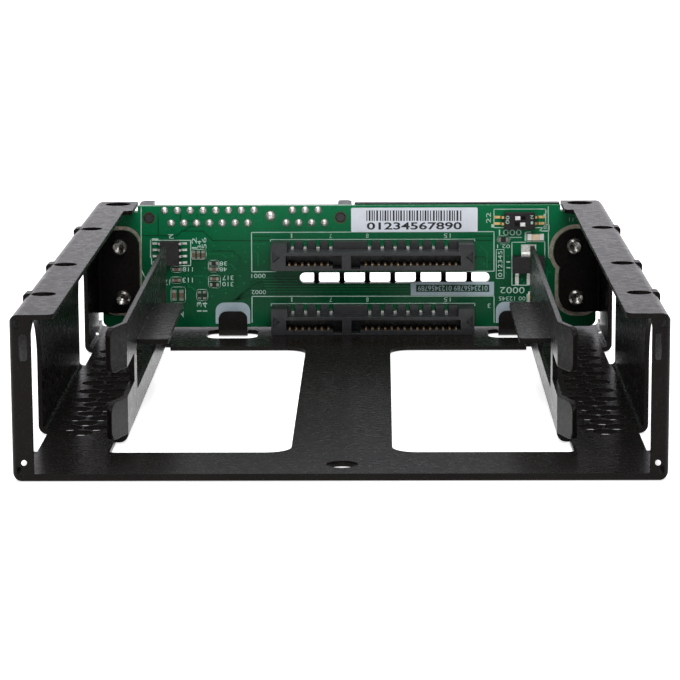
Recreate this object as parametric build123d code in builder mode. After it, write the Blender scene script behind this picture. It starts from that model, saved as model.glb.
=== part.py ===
from build123d import *
import os

os.makedirs("parts", exist_ok=True)

# Frame: millimetres, +X right, +Y from the open front to the rear, +Z up.
# Origin: centre of the footprint on the underside; the model is drawn with
# its front edge at Y = 0 and moved back by half its length when written.

# ---------------------------------------------------------------- dimensions
W = 101.6            # width across the side walls (3.5-inch drive width)
L = 136.0            # length of the folded chassis
H = 26.1             # height over the flanges (3.5-inch drive height)
T = 0.8              # sheet thickness
R_OUT = 1.5          # outside bend radius
R_IN = R_OUT - T     # inside bend radius
FLANGE_X = 43.95     # inner edge of the top flanges, from the centre plane
RETURN_X = {-1: 47.4, 1: 47.9}   # inner edges of the left and right front returns
LATCH_X = {-1: (-48.6, 1.25), 1: (48.85, 0.95)}   # latch slots: centre and width
RETURN_Z0, RETURN_Z1 = 2.2, H - 2.2
LIP_H = 1.1          # stiffening lip along the floor's front edge

HOLE_X = 47.625      # half of the 95.25 mm bottom hole spacing
HOLE_Y = (20.0, 51.75, 96.2)     # 31.75 and 44.45 mm apart
HOLE_R = 2.0

WIN_X0, WIN_X1 = 8.15, 37.3      # floor windows
WIN_Y0, WIN_Y1 = 16.9, 112.4
GUIDE_X = 35.2       # inner face of the drive guides (2.5-inch drive half width + clearance)
GUIDE_TOP = 20.0
GUIDE_Y0, GUIDE_Y1 = 28.2, 114.6
FLARE_Y, FLARE_DX = 6.4, 2.1     # front tabs: length and how far they lean out
NOTCH_Z0, NOTCH_Z1 = 7.8, 12.6   # gap between the two front tabs
NOTCH_Y1 = 41.5
SHELF_TOP = 13.8     # seat of the upper drive
SHELF_X = 29.9       # inner edge of the shelves
SHELF_Y0, SHELF_Y1 = 47.6, 85.8
LANCE_Z0 = 5.4       # lower edge of the opening the shelf is folded out of

ACCESS_R = 8.5       # side access slots, full-round top
ACCESS_TOP = 21.0
ACCESS_Y = (26.3, 101.6)         # slot centres
ACCESS_FLOOR_X = 49.0            # how far the slots cut across the bend

PERF_R = 2.03        # perforated strips beside the guides
PERF_X = (41.3, 43.5, 45.7)
PERF_Y0, PERF_PITCH, PERF_ROWS = 32.1, 3.95, 21

STOP_XC, STOP_HALF, STOP_TOP = 27.85, 2.85, 5.1   # rear drive stops, either side of the sockets
STOP_Y = 127.4
STOP_SLOT_HALF, STOP_SLOT_Y0, STOP_SLOT_Y1 = 5.05, 121.6, 131.2

EAR_Y0, EAR_Y1 = 129.7, 130.5    # board-mounting ears
BOARD_Y0, BOARD_Y1 = 130.5, 132.1
BOARD_X, BOARD_Z0, BOARD_Z1 = 49.2, 1.5, 25.9
BOARD_CORNER_X, BOARD_CORNER_Z = 41.95, 24.7
PLATE_Y0, PLATE_Y1 = 135.2, 136.0
SCREWS = ((-45.6, 18.0), (-45.0, 7.7), (44.8, 17.9), (45.2, 7.6))
SCREW_R = 1.5

VENT_X0, VENT_X1 = -9.8, 28.0    # air slot through the board
VENT_Z0, VENT_Z1 = 10.3, 12.45

SOCKET_X = 4.75      # centre of the two drive sockets
SOCKET_HALF = 20.1
SOCKET_Z = (0.82, 13.7)           # undersides
SOCKET_H = 5.2       # height over the end posts and the rear comb
SHROUD_H = 3.6       # height of the shroud in front of them
SOCKET_Y0 = 124.5
PITCH = 1.27         # contact pitch

PLUG_X, PLUG_Z = -20.68, 23.3    # rear plug centre
PLUG_HALF = 21.2
PLUG_Y1 = 140.4

SW_X0, SW_X1, SW_Z0, SW_Z1 = 30.8, 36.9, 21.2, 24.5   # mode switch
SW_Y0 = 128.7
SLOT_X0, SLOT_X1 = 32.9, 35.0
SLIDER_LEN, SLIDER_TRAVEL = 1.0, 1.0
SLIDER_Z = (23.5, 22.23)

TOTAL_Y = PLUG_Y1    # rearmost point is the plug
SHIFT = -TOTAL_Y / 2


def save(part, name):
    """Label a finished piece, move it to the part frame and write it."""
    moved = Pos(0, SHIFT, 0) * part
    moved.label = name
    export_step(moved, "parts/" + name + ".step")


# ------------------------------------------------------------------- chassis
# One piece of folded sheet: floor, two walls, two top flanges, front returns,
# drive guides with their shelves, drive stops and the ears for the board.
with BuildPart() as chassis:
    # floor, walls and flanges as one bent section
    with BuildSketch(Plane.XZ) as section:
        with Locations((0, H / 2)):
            RectangleRounded(W, H, R_OUT)
        with Locations((0, H / 2)):
            RectangleRounded(W - 2 * T, H - 2 * T, R_IN, mode=Mode.SUBTRACT)
        with Locations((0, H)):
            Rectangle(2 * FLANGE_X, 4, mode=Mode.SUBTRACT)
    extrude(amount=-L)

    # room for the front returns and for the rear ears
    with BuildSketch(Plane.YZ) as wall_ends:
        with Locations((0.6, (RETURN_Z0 + RETURN_Z1) / 2)):
            Rectangle(3.2, RETURN_Z1 - RETURN_Z0)
        with Locations((L, 13.0)):
            Rectangle(12.0, 22.0)
    extrude(amount=W, both=True, mode=Mode.SUBTRACT)

    # rounded front corners of the flanges
    with BuildSketch(Plane.XY.offset(H - T - 0.5)) as flange_corner:
        for s in (-1, 1):
            with Locations((s * (FLANGE_X + 0.7), 0.7)):
                Rectangle(1.6, 1.6)
            with Locations((s * (FLANGE_X + 1.5), 1.5)):
                Circle(1.5, mode=Mode.SUBTRACT)
    extrude(amount=T + 1, mode=Mode.SUBTRACT)

    # front returns: wall edges folded inward, joined to the floor and flanges
    for s in (-1, 1):
        with BuildSketch(Plane.XY.offset(RETURN_Z0)) as ret:
            with BuildLine() as rl:
                Polyline((s * W / 2, 3.2), (s * W / 2, R_OUT))
                RadiusArc((s * W / 2, R_OUT), (s * (W / 2 - R_OUT), 0), s * R_OUT)
                Polyline((s * (W / 2 - R_OUT), 0), (s * RETURN_X[s], 0), (s * RETURN_X[s], T),
                         (s * (W / 2 - R_OUT), T))
                RadiusArc((s * (W / 2 - R_OUT), T), (s * (W / 2 - T), R_OUT), -s * R_IN)
                Polyline((s * (W / 2 - T), R_OUT), (s * (W / 2 - T), 3.2), (s * W / 2, 3.2))
            make_face()
        extrude(amount=RETURN_Z1 - RETURN_Z0)
        with BuildSketch(Plane.XZ) as face_plate:
            with Locations((s * (RETURN_X[s] + W / 2 - R_OUT + 0.01) / 2, H / 2)):
                Rectangle(W / 2 - R_OUT - RETURN_X[s] + 0.01, H - 0.04)
        extrude(amount=-T)
        # latch slot in each return
        with BuildSketch(Plane.XZ.offset(1)) as latch:
            with Locations((LATCH_X[s][0], 20.9)):
                SlotOverall(4.3, LATCH_X[s][1], rotation=90)
        extrude(amount=-3, mode=Mode.SUBTRACT)
    # the front corners stay rounded above and below the folded part
    for (z0, z1) in ((-1, RETURN_Z0), (RETURN_Z1, H + 1)):
        with BuildSketch(Plane.XY.offset(z0)) as front_corner:
            for s in (-1, 1):
                with Locations((s * (W / 2 - R_OUT / 2 + 0.05), R_OUT / 2 - 0.05)):
                    Rectangle(R_OUT + 0.1, R_OUT + 0.1)
                with Locations((s * (W / 2 - R_OUT), R_OUT)):
                    Circle(R_OUT, mode=Mode.SUBTRACT)
        extrude(amount=z1 - z0, mode=Mode.SUBTRACT)
    # lip along the floor's front edge
    with BuildSketch(Plane.XZ) as lip_front:
        with Locations((0, LIP_H / 2)):
            Rectangle(2 * 48.0, LIP_H)
    extrude(amount=-T)

    # board ears: wall ends folded inward in front of the board
    for s in (-1, 1):
        with BuildSketch(Plane.XZ.offset(-EAR_Y0)) as ear:
            with Locations((s * 46.0, 9.9)):
                RectangleRounded(8.4, 10.8, 3.2)
            with Locations((s * 47.4, 12.8)):
                Rectangle(5.2, 16.4)
            if s > 0:
                with Locations((45.2, 16.6)):
                    Circle(4.5)
            else:
                with Locations((-46.0, 12.8)):
                    RectangleRounded(8.4, 16.4, 3.2)
            with Locations((s * (W / 2 - R_OUT + 0.05 + 5), 12.8)):
                Rectangle(10, 30, mode=Mode.SUBTRACT)
            for (sx, sz) in SCREWS:
                with Locations((sx, sz)):
                    Circle(SCREW_R + 0.02, mode=Mode.SUBTRACT)
        extrude(amount=-(EAR_Y1 - EAR_Y0))
        with BuildSketch(Plane.XY.offset(4.6)) as earbend:
            with BuildLine() as el:
                Polyline((s * W / 2, 126.0), (s * W / 2, EAR_Y1 - R_OUT))
                RadiusArc((s * W / 2, EAR_Y1 - R_OUT), (s * (W / 2 - R_OUT), EAR_Y1), -s * R_OUT)
                Polyline((s * (W / 2 - R_OUT), EAR_Y1), (s * (W / 2 - R_OUT), EAR_Y0))
                RadiusArc((s * (W / 2 - R_OUT), EAR_Y0), (s * (W / 2 - T), EAR_Y1 - R_OUT), s * R_IN)
                Polyline((s * (W / 2 - T), EAR_Y1 - R_OUT), (s * (W / 2 - T), 126.0), (s * W / 2, 126.0))
            make_face()
        extrude(amount=16.4)

    # rear ends of the flanges, widened towards the board
    for s in (-1, 1):
        with BuildSketch(Plane.XY.offset(H - T)) as wide:
            with Locations((s * 43.4, 128.8)):
                Rectangle(2.2, 14.4)
            fillet([v for v in wide.vertices() if abs(v.X) < 43.4 and v.Y < 125], 1.2)
        extrude(amount=T)

    # small pressed swellings of the bend beside the three front holes
    for s in (-1, 1):
        for y in HOLE_Y:
            with BuildSketch(Plane.XZ.offset(-(y + 2.2 - 1.5))) as bump:
                with Locations((s * 50.3, 25.2)):
                    RectangleRounded(1.6, 1.8, 0.6)
            extrude(amount=-3.0)

    # floor windows, their outer corners tight, their inner corners rounded
    for s in (-1, 1):
        with BuildSketch(Plane.XY.offset(-1)) as window:
            with Locations((s * (WIN_X0 + WIN_X1) / 2, (WIN_Y0 + WIN_Y1) / 2)):
                Rectangle(WIN_X1 - WIN_X0, WIN_Y1 - WIN_Y0)
            fillet([v for v in window.vertices() if abs(v.X) < 20], 4.0)
            fillet([v for v in window.vertices() if abs(v.X) > 36], 0.9)
            with Locations((s * 36.2, 114.0)):
                Rectangle(3.4, 4.0)
        extrude(amount=4, mode=Mode.SUBTRACT)

    # drive guides folded up from the windows' outer edges
    for s in (-1, 1):
        with BuildSketch(Plane.XZ.offset(-GUIDE_Y0)) as guide:
            with BuildLine() as gl:
                Polyline((s * (GUIDE_X + T), GUIDE_TOP), (s * GUIDE_X, GUIDE_TOP), (s * GUIDE_X, R_OUT))
                RadiusArc((s * GUIDE_X, R_OUT), (s * (GUIDE_X + R_OUT), 0), -s * R_OUT)
                Polyline((s * (GUIDE_X + R_OUT), 0), (s * 38.2, 0), (s * 38.2, T), (s * (GUIDE_X + R_OUT), T))
                RadiusArc((s * (GUIDE_X + R_OUT), T), (s * (GUIDE_X + T), R_OUT), s * R_IN)
                Line((s * (GUIDE_X + T), R_OUT), (s * (GUIDE_X + T), GUIDE_TOP))
            make_face()
        extrude(amount=-(GUIDE_Y1 - GUIDE_Y0))
        # relief behind the guide's foot
        with BuildSketch(Plane.XY.offset(-1)) as relief:
            with Locations((s * 36.2, 113.9)):
                Rectangle(3.6, 2.4)
        extrude(amount=5.6, mode=Mode.SUBTRACT)
        # front tabs, leaning outward
        with BuildSketch(Plane.XY.offset(1.5)) as flare:
            with BuildLine() as fl:
                Polyline((s * GUIDE_X, GUIDE_Y0 + 0.2), (s * GUIDE_X, GUIDE_Y0),
                         (s * (GUIDE_X + FLARE_DX), GUIDE_Y0 - FLARE_Y),
                         (s * (GUIDE_X + FLARE_DX + T), GUIDE_Y0 - FLARE_Y + 0.35),
                         (s * (GUIDE_X + T), GUIDE_Y0 + 0.2), close=True)
            make_face()
        extrude(amount=GUIDE_TOP - 1.5)
        # outline of the tabs, the gap between them and the shelf opening
        with BuildSketch(Plane.YZ.offset(s * 34.0)) as trim:
            with Locations(((GUIDE_Y0 - 10 + NOTCH_Y1) / 2, (NOTCH_Z0 + NOTCH_Z1) / 2)):
                Rectangle(NOTCH_Y1 - GUIDE_Y0 + 10, NOTCH_Z1 - NOTCH_Z0)
            fillet([v for v in trim.vertices() if v.Y > 30], 1.6)
            with Locations(((46.2 + SHELF_Y1 + 1.2) / 2, (LANCE_Z0 + SHELF_TOP - T) / 2)):
                RectangleRounded(SHELF_Y1 + 1.2 - 46.2, SHELF_TOP - T - LANCE_Z0, 0.9)
        extrude(amount=s * 5.5, mode=Mode.SUBTRACT)
        for (z0, z1) in ((1.5, NOTCH_Z0), (NOTCH_Z1, GUIDE_TOP)):
            with BuildSketch(Plane.YZ.offset(s * 34.0)) as corner:
                y0 = GUIDE_Y0 - FLARE_Y
                with Locations((y0, (z0 + z1) / 2)):
                    Rectangle(4.4, z1 - z0 + 1.0)
                with Locations((y0 + 2.2, (z0 + z1) / 2)):
                    RectangleRounded(4.4, z1 - z0, 1.9, mode=Mode.SUBTRACT)
            extrude(amount=s * 5.5, mode=Mode.SUBTRACT)
        # shelf for the upper drive
        with BuildSketch(Plane.XY.offset(SHELF_TOP - T)) as shelf:
            with Locations((s * (SHELF_X + GUIDE_X + T) / 2, (SHELF_Y0 + SHELF_Y1) / 2)):
                Rectangle(GUIDE_X + T - SHELF_X, SHELF_Y1 - SHELF_Y0)
            fillet([v for v in shelf.vertices() if abs(v.X) < 31], 0.9)
        extrude(amount=T)

    # side access slots through wall and bend
    for yc in ACCESS_Y:
        with BuildSketch(Plane.YZ, mode=Mode.PRIVATE) as access:
            with Locations((yc, ACCESS_TOP - ACCESS_R)):
                Circle(ACCESS_R)
            with Locations((yc, (ACCESS_TOP - ACCESS_R - 2) / 2)):
                Rectangle(2 * ACCESS_R, ACCESS_TOP - ACCESS_R + 2)
        for s in (-1, 1):
            extrude(to_extrude=Pos(s * ACCESS_FLOOR_X, 0, 0) * access.sketch, amount=s * 4,
                    dir=(1, 0, 0), mode=Mode.SUBTRACT)

    # perforated strips
    for s in (-1, 1):
        with BuildSketch(Plane.XY.offset(-1)) as perf:
            pts = []
            for k in range(PERF_ROWS):
                y = PERF_Y0 + k * PERF_PITCH
                xs = (PERF_X[1],) if k % 2 == 0 else (PERF_X[0], PERF_X[2])
                pts += [(s * x, y) for x in xs]
            with Locations(*pts):
                Circle(PERF_R)
        extrude(amount=3, mode=Mode.SUBTRACT)

    # flange holes: three standard holes and one larger rear hole each side
    with BuildSketch(Plane.XY.offset(H - 3)) as fh:
        with Locations(*[(s * HOLE_X, y) for s in (-1, 1) for y in HOLE_Y]):
            Circle(HOLE_R)
        with Locations((-45.9, 132.0), (45.9, 132.0)):
            Circle(2.5)
    extrude(amount=5, mode=Mode.SUBTRACT)

    # front hole with a shallow dimple, and small oblique relief holes in the bends
    with BuildSketch(Plane.XY.offset(-1)) as small:
        with Locations((0.2, 8.0)):
            Circle(2.0)
    extrude(amount=4, mode=Mode.SUBTRACT)
    for (px, py, pz, dx, r, ln) in ((-48.86, 0, 2.89, -0.13, 0.45, 15), (49.04, 0, 2.75, 0.0998, 0.45, 15),
                                    (-49.62, 122.5, 1.77, -0.102, 0.35, 10), (49.45, 122.5, 1.9, 0.079, 0.35, 10)):
        with BuildSketch(Plane(origin=(px - dx, py - 1, pz + 0.2235), z_dir=(dx, 1, -0.2235))) as corner_relief:
            Circle(r)
        extrude(amount=ln, mode=Mode.SUBTRACT)
    with BuildSketch(Plane.XY.offset(T - 0.25)) as dimple:
        with Locations((0.2, 8.0)):
            Circle(2.5)
    extrude(amount=1, mode=Mode.SUBTRACT)

    # rear drive stops, each lanced out of its own slot
    for xc in (SOCKET_X - STOP_XC, SOCKET_X + STOP_XC):
        with BuildSketch(Plane.XY.offset(-1)) as stop_slot:
            with Locations((xc, (STOP_SLOT_Y0 + STOP_SLOT_Y1) / 2)):
                RectangleRounded(2 * STOP_SLOT_HALF, STOP_SLOT_Y1 - STOP_SLOT_Y0, 2.4)
        extrude(amount=3, mode=Mode.SUBTRACT)
        with BuildSketch(Plane.YZ.offset(xc - STOP_HALF)) as stop:
            with BuildLine() as sl:
                Polyline((STOP_Y + T, STOP_TOP), (STOP_Y, STOP_TOP), (STOP_Y, R_OUT))
                RadiusArc((STOP_Y, R_OUT), (STOP_Y + R_OUT, 0), -R_OUT)
                Polyline((STOP_Y + R_OUT, 0), (STOP_SLOT_Y1 + 0.4, 0), (STOP_SLOT_Y1 + 0.4, T), (STOP_Y + R_OUT, T))
                RadiusArc((STOP_Y + R_OUT, T), (STOP_Y + T, R_OUT), R_IN)
                Line((STOP_Y + T, R_OUT), (STOP_Y + T, STOP_TOP))
            make_face()
        extrude(amount=2 * STOP_HALF)
        with BuildSketch(Plane.XZ.offset(-(STOP_Y - 1))) as stop_corners:
            with Locations((xc, STOP_TOP - 1)):
                Rectangle(2 * STOP_HALF + 1, 2.6)
            with Locations((xc, STOP_TOP - 3)):
                RectangleRounded(2 * STOP_HALF, 6, 1.6, mode=Mode.SUBTRACT)
        extrude(amount=-3.5, mode=Mode.SUBTRACT)
save(chassis.part, "chassis")
print("chassis solids", len(chassis.part.solids()), "volume", round(chassis.part.volume, 1), chassis.part.is_valid)

# ---------------------------------------------------------------- rear plate
# Separate bracket behind the board, with a lip over it and four embossed pads
# that the board is clamped against.
with BuildPart() as rear_plate:
    with BuildSketch(Plane.XZ.offset(-PLATE_Y0)) as plate:
        with Locations((0, (1.5 + H) / 2)):
            Rectangle(97.0, H - 1.5)
        fillet([v for v in plate.vertices() if v.Y < 3], 2.0)
        # opening for the rear plug
        with Locations((PLUG_X, 24.0)):
            Rectangle(2 * PLUG_HALF + 1.2, 7.6, mode=Mode.SUBTRACT)
        # clear the widened flange ends
        for s in (-1, 1):
            with Locations((s * 47.0, 26.0)):
                Rectangle(10.0, 3.4, mode=Mode.SUBTRACT)
        # row of air cells in line with the slot in the board
        for k in range(8):
            x0 = VENT_X0 - 0.3 if k == 0 else -6.58 + 5.105 * (k - 1) + 0.5
            x1 = VENT_X1 + 0.4 if k == 7 else -6.58 + 5.105 * k - 0.5
            with Locations(((x0 + x1) / 2, (9.75 + 11.95) / 2)):
                RectangleRounded(x1 - x0, 2.2, 0.45, mode=Mode.SUBTRACT)
        # three smaller rows above and below it
        for z in (15.2, 18.2, 6.4):
            for k in range(7):
                with Locations((-6.58 + 5.105 * k + 2.55, z)):
                    SlotOverall(4.1, 1.5, mode=Mode.SUBTRACT)
        for (sx, sz) in SCREWS:
            with Locations((sx, sz)):
                Circle(SCREW_R + 0.15, mode=Mode.SUBTRACT)
    extrude(amount=-(PLATE_Y1 - PLATE_Y0))
    # lip folded forward over the back of the board
    with BuildSketch(Plane.YZ.offset(1.3)) as lip:
        with BuildLine() as ll:
            Polyline((PLATE_Y1, H - 3.2), (PLATE_Y1, H - R_OUT))
            RadiusArc((PLATE_Y1, H - R_OUT), (PLATE_Y1 - R_OUT, H), -R_OUT)
            Polyline((PLATE_Y1 - R_OUT, H), (132.3, H), (132.3, H - T), (PLATE_Y1 - R_OUT, H - T))
            RadiusArc((PLATE_Y1 - R_OUT, H - T), (PLATE_Y0, H - R_OUT), R_IN)
            Polyline((PLATE_Y0, H - R_OUT), (PLATE_Y0, H - 3.2), (PLATE_Y1, H - 3.2))
        make_face()
    extrude(amount=40.6)
    # trim the flat plate's square top edge back to the bend
    with BuildSketch(Plane.YZ.offset(1.0)) as round_top:
        with Locations((PLATE_Y1, H)):
            Rectangle(2 * R_OUT, 2 * R_OUT)
        with Locations((PLATE_Y1 - R_OUT, H - R_OUT)):
            Circle(R_OUT, mode=Mode.SUBTRACT)
        with Locations((PLATE_Y1 - 2 * R_OUT, H - R_OUT)):
            Rectangle(2 * R_OUT, 6 * R_OUT, mode=Mode.SUBTRACT)
        with Locations((PLATE_Y1 - R_OUT, H - 2 * R_OUT)):
            Rectangle(6 * R_OUT, 2 * R_OUT, mode=Mode.SUBTRACT)
    extrude(amount=42, mode=Mode.SUBTRACT)
    # embossed pads
    with BuildSketch(Plane.XZ.offset(-(BOARD_Y1))) as pads:
        with Locations(*SCREWS):
            Circle(3.1)
            Circle(SCREW_R + 0.15, mode=Mode.SUBTRACT)
    extrude(amount=-(PLATE_Y0 - BOARD_Y1 + 0.01))
save(rear_plate.part, "rear_plate")

# --------------------------------------------------------------------- board
PIN_UP = [(PLUG_X - 15.9 + 2.54 * k, 25.0) for k in range(8)]
PIN_LOW = [(PLUG_X - 14.63 + 2.54 * k, 22.5) for k in range(7)]
DATA_LOW = [(PLUG_X + 8.23 + 2.54 * k, 22.5) for k in range(4)]
DATA_UP = [(PLUG_X + 9.5 + 2.54 * k, 25.0) for k in range(3)]
PLUG_PINS = PIN_UP + PIN_LOW + DATA_LOW + DATA_UP
PEGS = ((PLUG_X - 19.05, 23.5), (PLUG_X + 19.05, 23.5))

with BuildPart() as backplane_board:
    with BuildSketch(Plane.XZ.offset(-BOARD_Y0)) as board:
        with Locations((0, (BOARD_Z0 + BOARD_Z1) / 2)):
            Rectangle(2 * BOARD_X, BOARD_Z1 - BOARD_Z0)
        for s in (-1, 1):
            with Locations((s * (BOARD_CORNER_X + 5), BOARD_CORNER_Z + 2.5)):
                Rectangle(10, 5, mode=Mode.SUBTRACT)
        fillet([v for v in board.vertices() if v.Y < 3], 1.5)
        with Locations(((VENT_X0 + VENT_X1) / 2, (VENT_Z0 + VENT_Z1) / 2)):
            SlotOverall(VENT_X1 - VENT_X0, VENT_Z1 - VENT_Z0, mode=Mode.SUBTRACT)
        with Locations(*SCREWS):
            Circle(SCREW_R + 0.15, mode=Mode.SUBTRACT)
        with Locations(*PEGS):
            Circle(0.95, mode=Mode.SUBTRACT)
        with Locations((PLUG_X + 5.13, 23.9), *PLUG_PINS):
            Circle(0.4, mode=Mode.SUBTRACT)
    extrude(amount=-(BOARD_Y1 - BOARD_Y0))
save(backplane_board.part, "backplane_board")

# tinned rings on the board round the four screws
with BuildPart() as ground_pads:
    for s in (-1, 1):
        with BuildSketch(Plane.XZ.offset(-(BOARD_Y0 - 0.06))) as gp:
            if s > 0:
                with Locations((45.6, 9.9)):
                    RectangleRounded(9.2, 12.6, 4.0)
                with Locations((45.4, 13.0)):
                    RectangleRounded(7.4, 16.6, 3.0)
                with Locations((45.2, 16.6)):
                    Circle(5.4)
            else:
                with Locations((-45.6, 12.9)):
                    RectangleRounded(8.6, 18.0, 3.6)
            for (sx, sz) in SCREWS:
                with Locations((sx, sz)):
                    Circle(SCREW_R + 0.3, mode=Mode.SUBTRACT)
            with Locations((s * (49.0 + 5), 12.8)):
                Rectangle(10, 30, mode=Mode.SUBTRACT)
            # the ear itself covers the middle
            with Locations((s * 46.0, 9.9)):
                RectangleRounded(8.6, 11.0, 3.2, mode=Mode.SUBTRACT)
            with Locations((s * 47.5, 12.8)):
                Rectangle(5.4, 16.6, mode=Mode.SUBTRACT)
            if s > 0:
                with Locations((45.2, 16.6)):
                    Circle(4.6, mode=Mode.SUBTRACT)
            else:
                with Locations((-46.0, 12.8)):
                    RectangleRounded(8.6, 16.6, 3.2, mode=Mode.SUBTRACT)
        extrude(amount=-0.06)
save(ground_pads.part, "ground_pads")

# -------------------------------------------------------------------- screws
# Pan heads behind the plate; the threaded ends come through the ears.
with BuildPart() as board_screws:
    for (sx, sz) in SCREWS:
        with BuildSketch(Plane(origin=(sx, 0, sz), x_dir=(1, 0, 0), z_dir=(0, 0, 1))) as sc:
            with BuildLine() as scl:
                Polyline((0, 127.95), (0.85, 127.65), (1.1, 127.45), (SCREW_R, 127.85), (SCREW_R, PLATE_Y1),
                         (2.75, PLATE_Y1), (2.75, PLATE_Y1 + 1.0))
                RadiusArc((2.75, PLATE_Y1 + 1.0), (1.5, PLATE_Y1 + 1.9), -1.35)
                Polyline((1.5, PLATE_Y1 + 1.9), (0, PLATE_Y1 + 1.9), (0, 127.95))
            make_face()
        revolve(axis=Axis((sx, 0, sz), (0, 1, 0)))
        # cross recess
        with BuildSketch(Plane(origin=(sx, PLATE_Y1 + 1.0, sz), x_dir=(1, 0, 0), z_dir=(0, 1, 0))) as cr:
            Rectangle(2.7, 0.5)
            Rectangle(0.5, 2.7)
        extrude(amount=2, mode=Mode.SUBTRACT)
save(board_screws.part, "board_screws")


# ------------------------------------------------------------- drive sockets
def socket_slots(zc):
    """X ranges and Z ranges of the two contact chambers and their keys."""
    x = SOCKET_X
    return (
        (x - 17.15, x - 7.85, zc - 1.0, zc + 1.0),       # signal chamber
        (x - 7.85, x - 6.1, zc - 1.6, zc + 1.0),         # signal key
        (x - 4.25, x - 2.45, zc - 1.6, zc + 1.0),        # power key
        (x - 2.45, x + 17.35, zc - 1.0, zc + 1.0),       # power chamber
    )


def contact_xs():
    signal = [SOCKET_X - 16.45 + PITCH * k for k in range(7)]
    power = [SOCKET_X - 1.35 + PITCH * k for k in range(15)]
    return signal + power


def tail_xs():
    return ([SOCKET_X - 15.95 + 2.54 * k for k in range(4)]
            + [SOCKET_X - 0.63 + 2.54 * k for k in range(7)])


def make_socket(z0):
    zc = z0 + 1.97
    with BuildPart() as housing:
        # shroud
        with BuildSketch(Plane.XZ.offset(-SOCKET_Y0)) as front:
            with Locations((SOCKET_X, z0 + SHROUD_H / 2)):
                RectangleRounded(2 * 17.9, SHROUD_H, 0.25)
        extrude(amount=-(BOARD_Y0 - SOCKET_Y0))
        # end posts, taller than the shroud
        for s in (-1, 1):
            xp = SOCKET_X + s * (SOCKET_HALF - 1.6)
            with BuildSketch(Plane.XZ.offset(-SOCKET_Y0)) as post:
                with Locations((xp, z0 + SOCKET_H / 2)):
                    RectangleRounded(3.2, SOCKET_H, 0.25)
            extrude(amount=-(BOARD_Y0 - SOCKET_Y0))
            # V-shaped pocket in the front of each post
            with BuildSketch(Plane.XZ.offset(-(SOCKET_Y0 - 0.2))) as vee:
                with BuildLine() as vl:
                    xv = SOCKET_X + s * (SOCKET_HALF - 0.4)
                    Polyline((xv, z0 + 1.55), (xv, z0 + 3.7), (xv - s * 1.35, z0 + 2.62), close=True)
                make_face()
            extrude(amount=-1.0, mode=Mode.SUBTRACT)
        # comb along the back that spaces the solder tails
        with BuildSketch(Plane.XY.offset(z0 + SHROUD_H - 0.4)) as comb:
            with Locations((SOCKET_X, BOARD_Y0 - 0.7)):
                Rectangle(2 * 17.2, 1.4)
        extrude(amount=SOCKET_H - SHROUD_H + 0.4)
        with BuildSketch(Plane.XY.offset(z0 + SHROUD_H)) as gaps:
            with Locations(*[(x, BOARD_Y0 - 0.9) for x in tail_xs()]):
                Rectangle(0.95, 2.2)
        extrude(amount=3, mode=Mode.SUBTRACT)
        # contact chambers and keys
        for (x0, x1, za, zb) in socket_slots(zc):
            with BuildSketch(Plane.XZ.offset(-(SOCKET_Y0 - 0.5))) as chamber:
                with Locations(((x0 + x1) / 2, (za + zb) / 2)):
                    Rectangle(x1 - x0, zb - za)
            extrude(amount=-(0.5 + 4.6), mode=Mode.SUBTRACT)
    return housing.part


def make_socket_contacts(z0):
    zc = z0 + 1.97
    with BuildPart() as blades:
        for x in contact_xs():
            # spring blade lying on the chamber floor, humped near its tip
            with BuildSketch(Plane.YZ.offset(x - 0.2)) as blade:
                with BuildLine() as bl:
                    Polyline((SOCKET_Y0 + 0.3, zc - 0.98), (SOCKET_Y0 + 4.55, zc - 0.98),
                             (SOCKET_Y0 + 4.55, zc - 0.75), (SOCKET_Y0 + 2.2, zc - 0.66),
                             (SOCKET_Y0 + 1.2, zc - 0.42), (SOCKET_Y0 + 0.5, zc - 0.6),
                             (SOCKET_Y0 + 0.3, zc - 0.76), close=True)
                make_face()
            extrude(amount=0.4)
    return blades.part


def make_socket_tails(z0):
    with BuildPart() as tails:
        for x in tail_xs():
            with BuildSketch(Plane.YZ.offset(x - 0.3)) as tail:
                with BuildLine() as tl:
                    Polyline((BOARD_Y0 - 1.7, z0 + SHROUD_H + 0.02), (BOARD_Y0 - 1.7, z0 + SHROUD_H + 0.55),
                             (BOARD_Y0 - 0.02, z0 + SHROUD_H + 0.65), (BOARD_Y0 - 0.02, z0 + SHROUD_H + 0.02),
                             close=True)
                make_face()
            extrude(amount=0.6)
    return tails.part


lower_socket = make_socket(SOCKET_Z[0])
save(lower_socket, "lower_drive_socket")
upper_socket = make_socket(SOCKET_Z[1])
save(upper_socket, "upper_drive_socket")
save(make_socket_contacts(SOCKET_Z[0]), "lower_socket_contacts")
save(make_socket_contacts(SOCKET_Z[1]), "upper_socket_contacts")
save(make_socket_tails(SOCKET_Z[0]), "lower_socket_tails")
save(make_socket_tails(SOCKET_Z[1]), "upper_socket_tails")

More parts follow.
